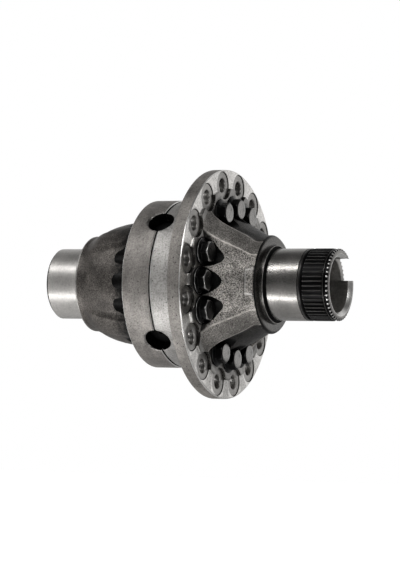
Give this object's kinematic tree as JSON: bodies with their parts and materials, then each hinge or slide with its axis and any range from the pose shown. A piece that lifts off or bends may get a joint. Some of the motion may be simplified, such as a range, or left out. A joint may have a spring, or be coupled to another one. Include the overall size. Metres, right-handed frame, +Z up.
{
  "type": "differential gear assembly",
  "caption": "Bolted differential case with bearing journals, crown wheel flange and external end spline, enclosing a cross, bevel pinions and side gears.",
  "frame": {"origin": "centre of the cross, on the axis of rotation, in the plane where the case halves meet", "axes": "+X along the axis of rotation, towards the splined end; -Y towards the viewer; +Z up"},
  "size_m": [0.3888, 0.288, 0.288],
  "materials": {
    "case_half_plain": "dark cast skin, turned journal and ring",
    "case_half_flanged": "gray cast bell, turned flange, ground journal, blackened spline",
    "bolts": "black oxide, oiled",
    "cross": "ground arms",
    "pinions": "forged teeth, dark oiled steel",
    "side_gears": "forged teeth, turned hub",
    "pinion_washers": "bearing bronze",
    "side_washers": "bearing bronze"
  },
  "bodies": {
    "case": {"case_half_plain": "case_half_plain", "case_half_flanged": "case_half_flanged", "spider_cross": "cross", "side_gear_washer_left": "side_washers", "side_gear_washer_right": "side_washers", "pinion_washer_1": "pinion_washers", "pinion_washer_2": "pinion_washers", "pinion_washer_3": "pinion_washers", "pinion_washer_4": "pinion_washers", "case_bolt_01": "bolts", "case_bolt_02": "bolts", "case_bolt_03": "bolts", "case_bolt_04": "bolts", "case_bolt_05": "bolts", "case_bolt_06": "bolts", "case_bolt_07": "bolts", "case_bolt_08": "bolts", "case_bolt_09": "bolts", "case_bolt_10": "bolts", "case_bolt_11": "bolts", "case_bolt_12": "bolts"},
    "left_side_gear": {"side_gear_left": "side_gears"},
    "right_side_gear": {"side_gear_right": "side_gears"},
    "pinion_1": {"pinion_1": "pinions"},
    "pinion_2": {"pinion_2": "pinions"},
    "pinion_3": {"pinion_3": "pinions"},
    "pinion_4": {"pinion_4": "pinions"}
  },
  "joints": [
    {"name": "left_side_gear_spin", "type": "hinge", "parent": "case", "child": "left_side_gear", "pos_m": [0, 0, 0], "axis": [1, 0, 0], "continuous": true},
    {"name": "right_side_gear_spin", "type": "hinge", "parent": "case", "child": "right_side_gear", "pos_m": [0, 0, 0], "axis": [1, 0, 0], "continuous": true},
    {"name": "pinion_1_spin", "type": "hinge", "parent": "case", "child": "pinion_1", "pos_m": [0, 0, 0], "axis": [0, -0.7071, 0.7071], "continuous": true},
    {"name": "pinion_2_spin", "type": "hinge", "parent": "case", "child": "pinion_2", "pos_m": [0, 0, 0], "axis": [0, 0.7071, 0.7071], "continuous": true},
    {"name": "pinion_3_spin", "type": "hinge", "parent": "case", "child": "pinion_3", "pos_m": [0, 0, 0], "axis": [0, 0.7071, -0.7071], "continuous": true},
    {"name": "pinion_4_spin", "type": "hinge", "parent": "case", "child": "pinion_4", "pos_m": [0, 0, 0], "axis": [0, -0.7071, -0.7071], "continuous": true}
  ],
  "couplings": [
    {"joint": "right_side_gear_spin", "follows": "left_side_gear_spin", "ratio": -1},
    {"joint": "pinion_1_spin", "follows": "left_side_gear_spin", "ratio": 1.6667},
    {"joint": "pinion_2_spin", "follows": "left_side_gear_spin", "ratio": 1.6667},
    {"joint": "pinion_3_spin", "follows": "left_side_gear_spin", "ratio": 1.6667},
    {"joint": "pinion_4_spin", "follows": "left_side_gear_spin", "ratio": 1.6667}
  ]
}
